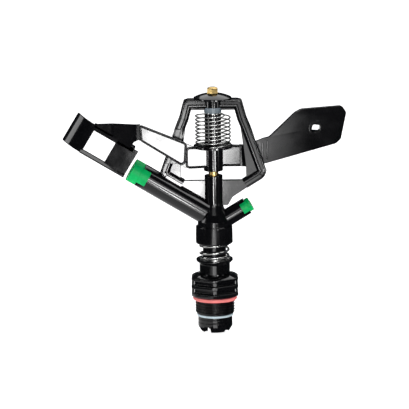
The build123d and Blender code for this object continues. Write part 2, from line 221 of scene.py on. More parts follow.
# Adds a node, sets its properties or sockets by name, and links its inputs.
def addNode(tree, kind, links=None, **settings):
    node = tree.nodes.new(kind)
    for key, value in settings.items():
        if hasattr(node, key):
            setattr(node, key, value)
        else:
            node.inputs[key.replace("_", " ")].default_value = value
    for name, source in (links or {}).items():
        tree.links.new(source, node.inputs[name])
    return node


# One principled shader, with the place on the object for its patterns.
def newMaterial(name, **settings):
    material = bpy.data.materials.new(name)
    material.use_nodes = True
    tree = material.node_tree
    tree.nodes.clear()
    shader = addNode(tree, "ShaderNodeBsdfPrincipled", **settings)
    output = tree.nodes.new("ShaderNodeOutputMaterial")
    tree.links.new(shader.outputs[0], output.inputs[0])
    place = tree.nodes.new("ShaderNodeTexCoord").outputs["Object"]
    return material, tree, shader, place


# Moulded plastic. Near black it shows mostly its gloss: a tight flash line, a faint ripple from the
# mould's texture and a few cloudy patches where fingers have dulled it.
plastic = {
    "patch": 9.0, "grain": 0.35, "relief": 0.02,                # millimetres
    "patchRange": (0.3, 0.7), "toneRange": (0.25, 0.75), "tone": (0.82, 1.18),
}


def mouldedPlastic(name, colour, gloss, cloud, ripple, grain=plastic["grain"], **more):
    v = plastic
    material, tree, shader, place = newMaterial(name, Base_Color=linear(colour), IOR=1.48, **more)
    patches = addNode(tree, "ShaderNodeTexNoise", {"Vector": place}, Scale=1 / (v["patch"] * mm), Detail=5.0)
    fine = addNode(tree, "ShaderNodeTexNoise", {"Vector": place}, Scale=1 / (grain * mm), Detail=2.0)
    rough = addNode(tree, "ShaderNodeMapRange", {"Value": patches.outputs["Fac"]},
                    From_Min=v["patchRange"][0], From_Max=v["patchRange"][1],
                    To_Min=gloss - cloud, To_Max=gloss + cloud)
    tree.links.new(rough.outputs[0], shader.inputs["Roughness"])
    tone = addNode(tree, "ShaderNodeMapRange", {"Value": patches.outputs["Fac"]},
                   From_Min=v["toneRange"][0], From_Max=v["toneRange"][1],
                   To_Min=v["tone"][0], To_Max=v["tone"][1])
    shade = addNode(tree, "ShaderNodeMix", data_type="RGBA", blend_type="MULTIPLY")
    shade.inputs[0].default_value = 1.0
    shade.inputs[6].default_value = linear(colour)
    tree.links.new(tone.outputs[0], shade.inputs[7])
    tree.links.new(shade.outputs[2], shader.inputs["Base Color"])
    bump = addNode(tree, "ShaderNodeBump", {"Height": fine.outputs["Fac"]}, Strength=ripple,
                   Distance=v["relief"] * mm)
    tree.links.new(bump.outputs[0], shader.inputs["Normal"])
    return material


# Black acetal with carbon black: almost no body colour, high gloss.
blackAcetal = mouldedPlastic("blackAcetalMoulded", "#0B0B0D", gloss=0.12, cloud=0.03, ripple=0.1)
# Green acetal: saturated pigment with a little light bleeding through thin edges.
greenAcetal = mouldedPlastic("greenAcetalMoulded", "#00B45E", gloss=0.34, cloud=0.06, ripple=0.2,
                             Specular_IOR_Level=0.12, Subsurface_Weight=0.12,
                             Subsurface_Radius=(0.3, 1.0, 0.5), Subsurface_Scale=0.8 * mm)
# White nylon thrust washer: slightly blue, soft satin sheen.
whiteNylon = mouldedPlastic("whiteNylonMoulded", "#CADCE4", gloss=0.42, cloud=0.06, ripple=0.15)
# Bushes of the white nylon, given a deeper blue-grey than the washer: painted shade for the dim gaps they sit
# in.
nylonBushPaintedShade = mouldedPlastic("nylonBushPaintedShadeMoulded", "#8896A0", gloss=0.38, cloud=0.06, ripple=0.15)
# Grey plastic of the vanes in the barrel: plain and even.
greyPlastic = mouldedPlastic("greyPlasticMoulded", "#6A6E72", gloss=0.45, cloud=0.05, ripple=0.15)
# Sheet rubber: matt, with the dusty bloom and fine grain of a punched gasket.
coralRubber = mouldedPlastic("coralRubberPunched", "#FF8280", gloss=0.55, cloud=0.08, ripple=0.5, grain=0.25)
blackRubber = mouldedPlastic("blackRubberMoulded", "#161616", gloss=0.6, cloud=0.08, ripple=0.5, grain=0.25)


# Drawn stainless wire: bright metal with the fine uneven scratches that the drawing die leaves.
def drawnSteel(name):
    scratch, relief = 0.6, 0.01                                 # millimetres
    material, tree, shader, place = newMaterial(name, Base_Color=linear("#C4C4C2"), Metallic=1.0)
    lines = addNode(tree, "ShaderNodeTexNoise", {"Vector": place}, Scale=1 / (scratch * mm), Detail=6.0)
    rough = addNode(tree, "ShaderNodeMapRange", {"Value": lines.outputs["Fac"]}, To_Min=0.14, To_Max=0.34)
    tree.links.new(rough.outputs[0], shader.inputs["Roughness"])
    bump = addNode(tree, "ShaderNodeBump", {"Height": lines.outputs["Fac"]}, Strength=0.15,
                   Distance=relief * mm)
    tree.links.new(bump.outputs[0], shader.inputs["Normal"])
    return material


# Turned brass: yellow metal with rings left by the lathe, dulled a little in patches.
def turnedBrass(name):
    ringScale, patch, relief = 0.9, 2.5, 0.02                   # millimetres
    bright, dulled = linear("#E6CB8C"), linear("#BE9A52")
    material, tree, shader, place = newMaterial(name, Base_Color=bright, Metallic=1.0)
    rings = addNode(tree, "ShaderNodeTexWave", {"Vector": place}, wave_type="BANDS", bands_direction="Z",
                    Scale=1 / (ringScale * mm), Distortion=0.4)
    patches = addNode(tree, "ShaderNodeTexNoise", {"Vector": place}, Scale=1 / (patch * mm), Detail=4.0)
    blend = addNode(tree, "ShaderNodeMix", data_type="RGBA")
    blend.inputs[6].default_value, blend.inputs[7].default_value = bright, dulled
    tree.links.new(patches.outputs["Fac"], blend.inputs[0])
    tree.links.new(blend.outputs[2], shader.inputs["Base Color"])
    rough = addNode(tree, "ShaderNodeMapRange", {"Value": patches.outputs["Fac"]}, To_Min=0.18, To_Max=0.42)
    tree.links.new(rough.outputs[0], shader.inputs["Roughness"])
    bump = addNode(tree, "ShaderNodeBump", {"Height": rings.outputs["Fac"]}, Strength=0.12,
                   Distance=relief * mm)
    tree.links.new(bump.outputs[0], shader.inputs["Normal"])
    return material


springSteel = drawnSteel("springSteelDrawn")
brass = turnedBrass("brassTurned")
print("materials made")

# The white ring sits this much lower than its node, and the thread above it is that much longer.
ringDrop, ringThick = 1.0, 1.4

nipple = {
    "flats": 31.0, "cornerRadius": 16.9, "gripTop": 14.9, "foot": 0.9, "footIn": 1.0,
    "cornerCut": (1.9, 0.55), "grooves": (4.8, 10.2), "grooveWidth": 2.9, "grooveDepth": 2.0,
    "ribRound": 0.5, "topSlope": (2.6, 1.7),
    "neck": 10.1, "neckTop": 22.0, "flange": 12.15, "flangeFrom": 23.9, "bore": 7.8,
    "seat": 10.5, "seatDepth": 3.0, "root": 12.2, "crest": 13.2, "pitch": 1.814, "threadDepth": 1.0,
    "leadIn": 1.3, "threadRows": 110, "segments": 288,
}


# Radius at angle a and height z. The grip is a hexagon: flats / cos(angle to the nearest flat), kept inside
# a circle that narrows at both ends; the thread is crest - depth * (half a cosine of the turn of the helix).
def inletNipple(v):
    low, high = boxMm("inlet_nipple")
    low[2] -= ringDrop
    flange, bore, seat, seatTop = v["flange"], v["bore"], v["seat"], low[2] + v["seatDepth"]
    half, top = v["grooveWidth"] / 2, v["gripTop"]
    a = v["flats"] / 2
    deep = a - v["grooveDepth"]
    hexPart = [(a - v["footIn"], 0.0), (a, v["foot"])]
    for z in v["grooves"]:
        hexPart += [(a, z - half), (deep, z - half), (deep, z + half), (a, z + half)]
    hexPart += [(a, top - v["topSlope"][1]), (a - v["topSlope"][0], top)]
    hexPart = rounded(hexPart, v["ribRound"], closed=False, steps=5)
    upper = rounded([(v["neck"], top), (v["neck"], v["neckTop"]), (flange, v["flangeFrom"]),
                     (flange, high[2]), (bore, high[2]), (bore, seatTop), (seat, seatTop), (seat, low[2]),
                     (v["root"], low[2])],
                    [0.5, 0.8, 0.25, 0.25, 0.2, 0.2, 0.2, 0.2, 0.1], closed=False, steps=5)
    threadZ = np.linspace(low[2], 0, v["threadRows"])
    angle = np.arange(v["segments"]) * 2 * pi / v["segments"]
    toFlat = (angle + radians(30)) % radians(60) - radians(30)
    r, z = hexPart[:, :1], hexPart[:, 1:]
    cutFrom, cutSlope = v["cornerCut"]
    ends = np.maximum(0, cutFrom - np.minimum(z, top - z))
    hexRadius = np.minimum(r / np.cos(toFlat), v["cornerRadius"] - (a - r) - cutSlope * ends)
    turns = threadZ[:, None] / v["pitch"] + angle / (2 * pi)
    wave = 0.5 - 0.5 * np.cos(2 * pi * turns)
    start = np.clip((threadZ - low[2]) / v["leadIn"], 0, 1)[:, None]
    threadRadius = np.minimum(v["crest"] - v["threadDepth"] * wave, v["root"] + v["threadDepth"] * start)
    allR = np.concatenate([threadRadius, hexRadius, upper[:, :1] + 0 * angle])
    allZ = np.concatenate([threadZ, hexPart[:, 1], upper[:, 1]])[:, None] + 0 * angle
    grid = np.stack([allR * np.cos(angle), allR * np.sin(angle), allZ], -1)
    return makePiece("inletNipple", [sheetOf(grid, loopRows=True, loopColumns=True)], blackAcetal, "base",
                     ["inlet_nipple"], smoothAngle=50)


# Flat ring with softened edges, as wide as its node: a rounded rectangle turned about Z.
def washer(name, node, material, body, edge=0.3, bore=7.95, heights=None):
    low, high = boxMm(node)
    bottom, top = heights or (low[2], high[2])
    profile = [(bore, bottom), (high[0], bottom), (high[0], top), (bore, top)]
    return makePiece(name, [turned(rounded(profile, edge, steps=6))], material, body, [node])


inletNipple(nipple)
washer("inletGasket", "inlet_gasket", coralRubber, "base", edge=0.55, bore=13.25)
ringTop = boxMm("lower_thrust_washer")[1][2] - ringDrop
washer("lowerThrustWasher", "lower_thrust_washer", whiteNylon, "bearing", edge=0.35,
       heights=(ringTop - ringThick, ringTop))
print("inlet made")

tube = {
    "outside": 7.7, "bore": 5.7, "flange": 11.4, "foot": 9.2, "flangeLow": -20.3, "rings": (-17.4, -15.0),
    "ringHalf": (0.35, 0.15), "ringDepth": 0.4, "notches": 4, "notchWidth": 4.9, "notchHeight": 4.0,
    "notchTurn": -34.0, "notchSoft": 0.25, "notchReach": 1.2, "segments": 360,
}


# Turned body whose foot is lifted inside four notches: height = max(height, foot + notch) there.
def bearingTube(v):
    low, high = boxMm("bearing_tube")
    f, washerUnder = v["flange"], ringTop - ringThick
    wide, narrow = v["ringHalf"]
    deep = f - v["ringDepth"]
    outer = [(v["bore"], low[2]), (v["foot"], low[2]), (f, v["flangeLow"])]
    for z in v["rings"]:
        outer += [(f, z - wide), (deep, z - narrow), (deep, z + narrow), (f, z + wide)]
    outer += [(f, washerUnder), (v["outside"], washerUnder), (v["outside"], high[2]), (v["bore"], high[2])]
    profile = rounded(outer, [0.3, 0.5, 0.8] + [0.12] * 8 + [0.35, 0.2, 0.4, 0.3], steps=5)
    angle = np.arange(v["segments"]) * 2 * pi / v["segments"]
    r = profile[:, :1] + 0 * angle
    z = profile[:, 1:] + 0 * angle
    step = 2 * pi / v["notches"]
    off = (angle - radians(v["notchTurn"] - 90) + step / 2) % step - step / 2
    edge = v["notchWidth"] / 2 - np.abs(r * np.sin(off))
    raised = v["notchHeight"] * np.clip(edge / v["notchSoft"] + 0.5, 0, 1)
    z = np.where(z < v["flangeLow"] + v["notchReach"], np.maximum(z, low[2] + raised), z)
    grid = np.stack([r * np.cos(angle), r * np.sin(angle), z], -1)
    return makePiece("bearingTube", [sheetOf(grid, loopRows=True, loopColumns=True)], blackAcetal, "head",
                     ["bearing_tube"], smoothAngle=40)


bearingSpring = {"mean": 9.375, "wire": 1.6, "turns": 2.7, "closedTurns": 0.6, "closedRise": 0.92,
                 "startTurn": 0.62, "steps": 520, "smoothing": 20}


# Compression spring: the height rises by one wire a turn in the closed ends and evenly between them.
def compressionSpring(v):
    low, high = boxMm("bearing_spring")
    t = np.linspace(0, v["turns"], v["steps"])
    wire, ends, total = v["wire"], v["closedTurns"], v["turns"]
    bottom = low[2] + wire / 2
    tall = high[2] - wire / 2 - bottom
    closedRise = wire * ends * v["closedRise"]
    rise = np.interp(t, [0, ends, total - ends, total], [0, closedRise, tall - closedRise, tall])
    n = v["smoothing"]
    padded = np.pad(rise, n, mode="reflect", reflect_type="odd")
    smooth = np.convolve(padded, np.ones(2 * n + 1) / (2 * n + 1), mode="same")[n:-n]
    angle = 2 * pi * (t + v["startTurn"])
    line = np.stack([v["mean"] * np.cos(angle), v["mean"] * np.sin(angle), bottom + smooth], 1)
    spring = makePiece("bearingSpring", [wireAlong(line, wire / 2, sides=14)], springSteel, None,
                       ["bearing_spring"], smoothAngle=60)
    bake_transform(spring)
    return spring


bearingTube(tube)
compressionSpring(bearingSpring)
print("bearing made")

head = {
    "bore": 7.75, "boreTop": 44.5, "collar": 12.2, "collarRound": 0.9, "collarSkirt": 0.9, "collarTop": 47.4,
    "shoulder": 11.0, "shoulderTop": 50.8, "cone": 2.4, "coneLow": 55.5, "coneTop": 61.5,
    "stem": 6.05, "stemTop": 81.3, "pinHole": 2.5, "pinHoleLow": 70.0,
    "barrel": 8.0, "barrelBore": 6.0, "barrelZ": 53.0, "barrelTilt": 31.2, "barrelLength": 56.6,
    "aux": 5.75, "auxBore": 4.0, "auxZ": 47.2, "auxTilt": 31.2, "auxLength": 25.8,
    "topBoss": 6.35, "topBossLow": 127.1, "topBossHigh": 131.6, "webDepth": 3.2,
    "ribWidth": 6.3, "ribDepth": 8.4, "ribGroove": 0.6, "ridge": 1.5, "channel": 3.2,
    "ribEnd": 20.6, "ribFoot": 90.0, "anvilDepth": 4.1, "anvilForward": 2.1,
    "anvil": [(-20.0, 113.0), (-25.4, 113.0), (-31.3, 90.0), (-21.2, 90.0)],
    "bell": [(18.9, 132.5), (22.1, 120.4), (24.7, 114.0), (35.2, 84.4), (33.4, 79.9), (22.4, 73.1),
             (12.4, 66.6), (9.4, 61.2)],
    "bellRound": [4.2, 3.0, 3.0, 5.0, 3.0, 1.0, 2.0, 0.5],
    "window": [(16.4, 125.1), (19.3, 105.2), (21.5, 85.8), (21.6, 78.1)],
}


# Right-hand outline carried on round its mirror image.
def bothSides(points):
    return points + [(-x, z) for x, z in reversed(points)]


# Frame of a slanted tube: local x runs along it, local z is up and square to it.
def slanted(z, tilt, towards):
    c, s = cos(radians(tilt)), sin(radians(tilt))

    def place(along, depth, up):
        return np.stack([towards * (along * c - up * s), depth, z + along * s + up * c], -1)
    return place


# Lathe about a slanted tube's own axis.
def turnedAlong(profile, place, segments=96, loop=True):
    profile = np.asarray(profile, float)
    angle = np.arange(segments) * 2 * pi / segments
    r = profile[:, :1]
    grid = place(profile[:, 1:] + 0 * angle, r * np.cos(angle), r * np.sin(angle))
    return sheetOf(grid, loopRows=loop, loopColumns=True)


jet = slanted(head["barrelZ"], head["barrelTilt"], -1)
sideJet = slanted(head["auxZ"], head["auxTilt"], 1)


# Outline as radius over angle about a middle point, so two outlines can be joined ring to ring.
def polar(outline, middle, angles):
    d = np.asarray(outline, float) - middle
    share = np.linspace(0, 1, 24)[:-1, None, None]           # each edge is read at 23 places
    d = (d[None] * (1 - share) + np.roll(d, -1, 0)[None] * share).transpose(1, 0, 2).reshape(-1, 2)
    a, r = np.arctan2(d[:, 1], d[:, 0]), np.linalg.norm(d, axis=1)
    order = np.argsort(a)
    return np.interp(angles, a[order], r[order], period=2 * pi)


# Web with a window: one ring of quads whose section runs from the outside edge to the window and back.
def windowWeb(outer, inner, middle, depth, edge):
    corner = [np.arctan2(z - middle[1], x - middle[0]) for x, z in outer + inner]
    angles = np.unique(np.concatenate([np.linspace(-pi, pi, 361)[:-1], corner]))
    ro = polar(rounded(outer, 1.6), middle, angles)
    ri = polar(rounded(inner, 1.2), middle, angles)
    share = np.array([0, 0, 1, 1, 1, 1, 0, 0])                # 0 on the outside, 1 at the window
    face = np.array([-1, -1, -1, -1, 1, 1, 1, 1])             # -1 on the front face, 1 on the back face
    inset = np.array([1, 0, 0, 1, 1, 0, 0, 1])                # 1 on the rim, 0 where the flat face begins
    radius = ro[:, None] * (1 - share) + ri[:, None] * share
    radius = radius + np.where(share == 0, -1, 1) * edge * (1 - inset)
    depthNow = face * (depth / 2 - edge * inset)
    x = middle[0] + radius * np.cos(angles)[:, None]
    z = middle[1] + radius * np.sin(angles)[:, None]
    return sheetOf(straight(x, depthNow + 0 * x, z), loopRows=True, loopColumns=True)


# Tube along a slanted axis: a rounded rectangle from bore to outside, turned about that axis.
def slantedTube(bore, outside, length, boreFrom, outsideFrom, edges, place):
    return turnedAlong(rounded([(bore, boreFrom), (outside, outsideFrom), (outside, length), (bore, length)],
                               edges, steps=5), place)


# The rib follows the bell's outline, half a rib inside it, and stops short of the column below.
def bellRib(v):
    outline = rounded(bothSides(v["bell"]), v["bellRound"] + v["bellRound"][::-1], steps=8)
    run = np.roll(outline, -1, 0) - np.roll(outline, 1, 0)
    run /= np.linalg.norm(run, axis=1)[:, None]
    path = outline + np.stack([run[:, 1], -run[:, 0]], 1) * v["ribWidth"] / 2
    keep = (np.abs(path[:, 0]) > v["ribEnd"]) | (path[:, 1] > v["ribFoot"])
    first = int(np.argmax(~keep))
    path = np.roll(path, -first, 0)[np.roll(keep, -first)]
    w, d, floor = v["ribWidth"] / 2, v["ribDepth"] / 2, v["ribGroove"]
    ridge, channel = w - v["ridge"], w - v["channel"]
    half = [(w, -d + 0.7), (w - 0.4, -d), (ridge + 0.3, -d), (ridge, -d + floor), (channel, -d + floor),
            (channel - 0.35, -d), (-w + 1.5, -d), (-w, -d + 1.6)]
    soft = [0.7, 0.7, 0.5, 0.1, 0.1, 0.6, 1.2, 1.2]
    section = rounded(half + [(x, -z) for x, z in reversed(half)], soft + soft[::-1], steps=5)
    return swept(path, section, straight, closed=False)


# Column, two slanted tubes and the bell-shaped frame with its thin web and the arm's stop.
def headBody(v):
    bottom = boxMm("head_body")[0][2] - v["collarSkirt"]
    bore, pinHole, stem = v["bore"], v["pinHole"], v["stem"]
    column = rounded([(bore, bottom), (v["collar"], bottom), (v["collar"], v["collarTop"]),
                      (v["shoulder"], v["collarTop"]), (v["shoulder"], v["shoulderTop"]),
                      (stem + v["cone"], v["coneLow"]), (stem, v["coneTop"]), (stem, v["stemTop"]),
                      (pinHole, v["stemTop"]), (pinHole, v["pinHoleLow"]), (bore, v["boreTop"])],
                     [0.3, v["collarRound"], 0.7, 0.3, 0.8, 3.0, 6.0, 0.4, 0.2, 0.5, 0.5], steps=8)
    barrel = slantedTube(v["barrelBore"], v["barrel"], v["barrelLength"], 10, 3, [0.5, 0.5, 0.35, 0.3], jet)
    side = slantedTube(v["auxBore"], v["aux"], v["auxLength"], 8, 3, [0.5, 0.5, 0.3, 0.3], sideJet)
    boss = rounded([(pinHole, v["topBossLow"]), (v["topBoss"], v["topBossLow"]),
                    (v["topBoss"], v["topBossHigh"]), (pinHole, v["topBossHigh"])], 0.3)
    web = windowWeb(bothSides(v["bell"]), bothSides(v["window"]), np.array([0.0, 100.0]), v["webDepth"], 0.35)
    anvil = plate(rounded(v["anvil"], 0.5), v["anvilDepth"], 0.35,
                  lambda x, d, z: straight(x, d - v["anvilForward"], z))
    shells = [turned(column), barrel, side, turned(boss, 64), bellRib(v), web, anvil]
    return makePiece("headBody", shells, blackAcetal, "head", ["head_body"], smoothAngle=35)


cap = {"rim": 0.9, "rise": 3.0, "hole": 2.6, "seat": 4.2, "seatZ": 136.1, "edge": 0.35}


# Round cover: a rim and a shallow crown, r = ball * sin(t), z = rim + rise - ball * (1 - cos(t)).
def domeCap(v):
    low, high = boxMm("dome_cap")
    r, rim, rise = high[0], low[2] + v["rim"], v["rise"]
    ball = (r ** 2 + rise ** 2) / (2 * rise)
    t = np.linspace(np.arcsin((r - v["edge"]) / ball), np.arcsin(v["seat"] / ball), 22)
    crown = np.stack([ball * np.sin(t), rim + rise - ball * (1 - np.cos(t))], 1)
    under = rounded([(v["hole"], v["seatZ"]), (v["hole"], low[2]), (r - 0.1, low[2]), (r, low[2] + 0.1),
                     (r, rim - 0.1)], 0.15, closed=False)
    profile = np.concatenate([under, crown, [(v["seat"] - 0.1, v["seatZ"])]])
    return makePiece("domeCap", [turned(profile)], blackAcetal, "head", ["dome_cap"],
                     smoothAngle=30)


# The nut's rows from the pole below to the pole above, and how far past the half width the cone is at each.
nut = {
    "segments": 144, "bottomRows": (0.0, 0.0, 0.2), "drops": (1.3, 1.0, 0.7, 0.4, 0.15, 0.0, 0.0),
    "cone": (None, 0.3, 0.55, 0.55, 0.4, 0.1, -0.35, -0.9, -1.4, None), "pole": 0.01,
}


# Hexagon nut: flats / cos(angle to the nearest flat), kept under a chamfer cone at the top.
def capNut(v):
    low, high = boxMm("cap_nut")
    a = high[1]
    angle = np.arange(v["segments"]) * 2 * pi / v["segments"]
    toFlat = (angle + radians(30)) % radians(60) - radians(30)
    z = np.array([low[2] + up for up in v["bottomRows"]] + [high[2] - down for down in v["drops"]])[:, None]
    cone = np.array([v["pole"] if past is None else a + past for past in v["cone"]])[:, None]
    r = np.minimum(a / np.cos(toFlat) + 0 * z, cone)
    grid = np.stack([r * np.cos(angle), r * np.sin(angle), z + 0 * r], -1)
    return makePiece("capNut", [sheetOf(grid, loopColumns=True)], brass, "head", ["cap_nut"],
                     smoothAngle=32)


# Pale ring round the pin, under the frame's top boss.
def topBush(bore=2.55):
    low, high = boxMm("top_bush")
    profile = rounded([(bore, low[2]), (high[0], low[2]), (high[0], high[2]), (bore, high[2])], 0.35)
    # the bush's deeper grey is the white nylon darkened with painted shade
    return makePiece("topBush", [turned(profile, 72)], nylonBushPaintedShade, "head", ["top_bush"])


headBody(head)
domeCap(cap)
capNut(nut)
topBush()
print("head made")

nozzle = {"face": 7.9, "end": 63.4, "hole": 3.0, "plug": 5.9, "plugLength": 8.0, "tongueFrom": 50.8,
          "tongueHalf": 40.0, "tongueProud": 0.12, "tongueThick": 2.2, "edge": 0.45}
sideNozzle = {"face": 4.65, "end": 28.4, "hole": 1.5, "plug": 3.9, "plugLength": 8.0, "tongueFrom": 21.5,
              "tongueHalf": 38.0, "tongueProud": 1.1, "tongueThick": 2.2, "edge": 0.3}
catchTurn = 4.5 - 90.0                         # degrees: the catches sit on the front, just above the middle


# Curved catch on a tube: a rounded rectangle, thick by long, carried round an arc on the front side.
def catch(place, radius, thick, start, end, half, edge):
    angle = np.radians(np.linspace(-half, half, 40) + catchTurn)
    t = thick / 2
    path = np.stack([np.cos(angle), np.sin(angle)], 1) * (radius - t)
    section = rounded([(-t, start), (t, start), (t, end), (-t, end)], edge, steps=5)

    def wrap(across, along, up):
        return place(along, up, across)
    return swept(path, section, wrap, closed=False)


# Plug, collar and mouth turned about the tube's axis, with the catch that snaps into the tube's slot.
def nozzlePiece(name, node, v, place, length):
    hole, plugEnd, end = v["hole"], length - v["plugLength"], v["end"]
    profile = rounded([(hole, plugEnd), (v["plug"], plugEnd), (v["plug"], length), (v["face"], length + 0.05),
                       (v["face"], end), (hole + 1.0, end), (hole, end - 1.0)],
                      [0.2, 0.2, 0.1, v["edge"], v["edge"], 0.25, 0.25], steps=6)
    tongue = catch(place, v["face"] + v["tongueProud"], v["tongueThick"], v["tongueFrom"], length + 0.6,
                   v["tongueHalf"], 0.35)
    return makePiece(name, [turnedAlong(profile, place), tongue], greenAcetal, "head",
                     [node], smoothAngle=32)


nozzlePiece("mainNozzle", "main_nozzle", nozzle, jet, head["barrelLength"])
nozzlePiece("auxNozzle", "aux_nozzle", sideNozzle, sideJet, head["auxLength"])
print("nozzles made")

arm = {
    "yaw": 12.0, "offset": 2.5, "depth": 4.4, "web": 1.8, "rim": 1.5,
    "hub": 6.4, "hubLow": 84.5, "hubTop": 100.0, "hubBore": 3.5, "plate": 12.95, "plateTop": 101.6,
    "tray": (10.1, 12.25, 0.6), "sleeve": 5.5, "sleeveTop": 122.2,
    "spoonPlane": -7.0, "wedge": (-66.0, -51.0),
    "paddle": 3.2, "hole": 2.75, "holeAt": (68.0, 109.2), "boss": 3.9, "bossWidth": 2.3,
    "ribs": 3, "ribFrom": 28.8, "ribStep": 3.2,
}


# Y of the arm's middle plane: straight and yawed, stepped to either side of the pin.
def armMiddle(x):
    return np.where(x < 0, -1, 1) * arm["offset"] + x * tan(radians(arm["yaw"]))


# Depth is square to the yawed plane.
def onArm(x, depth, z):
    yaw = radians(arm["yaw"])
    return np.stack([x - depth * sin(yaw), armMiddle(x) + depth * cos(yaw), z], -1)


# Plane of the wedge: it runs from the spoon's front plate back to the arm's end.
def onWedge(x, depth, z):
    y = np.interp(x, arm["wedge"], [arm["spoonPlane"], float(armMiddle(arm["wedge"][1]))])
    return np.stack([x, y + depth, z], -1)


# Sheet bent along its length: at each x a rounded rectangle from the low edge to the high edge.
def bentSheet(xs, low, high, thick, place):
    lows, highs = np.asarray(low, float)[:, None], np.asarray(high, float)[:, None]
    t = thick / 2
    edge = min(0.35, t)
    share = np.array([0, 0, 1, 1, 1, 1, 0, 0])                # 0 on the low edge, 1 on the high edge
    face = np.array([-1, -1, -1, -1, 1, 1, 1, 1])             # -1 on the front face, 1 on the back face
    inset = np.array([0, 1, 1, 0, 0, 1, 1, 0])                # 0 on the rim, 1 where the flat face begins
    z = lows * (1 - share) + highs * share + np.where(share == 0, 1, -1) * edge * inset
    depth = face * (t - edge * (1 - inset))
    x = np.asarray(xs, float)[:, None] + 0 * z
    return sheetOf(place(x, depth + 0 * z, z), loopColumns=True, caps=True)


# Spoon in the jet's own frame: u along the jet, v up, w towards +Y. The vane is an arc of the circle
# round (vaneFrom, front + R), w = front + R - R * cos(t), u = vaneFrom + R * sin(t).
spoon = {
    "start": 66.0, "end": 112.7, "low": -6.0, "high": 15.1, "window": (81.8, 98.2, -3.6, 11.3), "thick": 1.8,
    "vaneFrom": 98.2, "vaneRadius": 16.0, "lip": 1.2, "floor": 3.0, "roof": 7.0, "notch": (3.0, 1.2),
    "lap": 1.2,
}


def spoonShells(v, front):
    start, end, low, high, t = v["start"], v["end"], v["low"], v["high"], v["thick"] / 2
    u0, u1, v0, v1 = v["window"]
    notchLong, notchTall = v["notch"]
    face, lip = front - t, front - t - v["lip"]

    def sheet(u, depth, w):
        return jet(u, depth + front, w)

    def across(u, upward, w):
        return jet(u, w, upward)
    entry = plate(rounded([(start, low), (u0, low), (u0, high), (start + notchLong, high),
                           (start + notchLong, high - notchTall), (start, high - notchTall)], 0.4),
                  2 * t, 0.4, sheet)
    centre = v["vaneRadius"] - t
    arc = np.linspace(0.0, np.arcsin((end - v["vaneFrom"]) / v["vaneRadius"]), 30)
    curve = np.stack([v["vaneFrom"] + centre * np.sin(arc), face + v["vaneRadius"] - centre * np.cos(arc)], 1)
    height = rounded([(-t, low), (t, low), (t, high), (-t, high)], 0.5, steps=5)
    vane = swept(curve, height, across, closed=False)
    # the lower rail leans back at the front, so its face looks up
    floorBack, roofBack = front + v["floor"], front + v["roof"]
    lowSection = rounded([(low, lip), (low, floorBack), (v0, floorBack), (v0, face + 0.4), (low + 0.8, lip)],
                         0.25, steps=4)
    lowRail = railAlong(np.linspace(start, u1 + v["lap"], 12), lowSection)
    highSection = rounded([(v1, face), (v1, roofBack), (high, roofBack), (high, face)], 0.35, steps=4)
    highRail = railAlong(np.linspace(start + notchLong, u1 + v["lap"], 12), highSection)
    return [entry, vane, lowRail, highRail]


# Straight rail on the jet's line: the same (v, w) section at each u.
def railAlong(us, section):
    u = us[:, None]
    v, w = section[:, 0] + 0 * u, section[:, 1] + 0 * u
    return sheetOf(jet(u + 0 * v, w, v), loopColumns=True, caps=True)


# Hub and spring sleeve turned about the pin, with a tray that the spring stands in.
def armHub(v):
    bore, hub, sleeve, disc = v["hubBore"], v["hub"], v["sleeve"], v["plate"]
    top, under = v["plateTop"], v["hubTop"]
    inside, outside, deep = v["tray"]
    return turned(rounded([(bore, v["hubLow"]), (hub, v["hubLow"]), (hub, under), (disc, under - 0.1),
                           (disc, top), (outside, top), (outside, top - deep), (inside, top - deep),
                           (inside, top), (sleeve, top), (sleeve, v["sleeveTop"]), (bore, v["sleeveTop"])],
                          [0.3, 0.4, 0.3, 0.3, 0.3, 0.1, 0.1, 0.1, 0.1, 0.5, 0.4, 0.3], steps=5))


# Flat counterweight with a hole in a raised ring, and short ribs across its neck.
def paddleShells(v):
    outline = rounded([(20.8, 85.9), (34.5, 87.0), (81.4, 97.9), (84.7, 100.8), (88.5, 118.6),
                       (85.6, 123.3), (58.6, 122.4), (54.4, 120.4), (37.0, 104.6), (33.2, 103.9),
                       (28.5, 102.2), (20.8, 99.6)],
                      [1, 3, 3, 3, 3, 3, 6, 6, 3, 3, 2, 1], steps=8)
    angle = np.arange(72) * 2 * pi / 72
    ring = np.stack([np.cos(angle), np.sin(angle)], 1) * v["boss"] + v["holeAt"]
    shells = [holedPlate(outline, v["holeAt"], v["hole"], v["paddle"], 0.5, onArm),
              swept(ring, railSection(v["bossWidth"], v["paddle"] + 1.0, 0.4), onArm)]
    for i in range(v["ribs"]):
        x = v["ribFrom"] + v["ribStep"] * i
        rib = rounded([(x - 0.6, 88.8 + 0.5 * i), (x + 0.6, 89.0 + 0.5 * i),
                       (x + 1.0, 100.6 + i), (x - 0.2, 100.4 + i)], 0.4)
        shells.append(plate(rib, v["depth"], 0.45, onArm))
    return shells


# Wedge that joins the arm's end to the spoon: its low edge drops to a point and rises again.
def wedgeShell(v):
    xs = np.array([-80.2, -76, -72, -69, -67, -66, -65, -62, -58, -56, -54.3, -53.2, -52.0, -51, -50,
                   -48.9, -47.7])
    low = np.interp(xs, [-80.4, -54.6, -52.2, -49.0, -47.6], [117.0, 102.0, 106.4, 108.0, 107.3])
    high = np.interp(xs, [-80.4, -48.6], [117.8, 118.4])
    return bentSheet(xs, low, high, v["web"], onWedge)


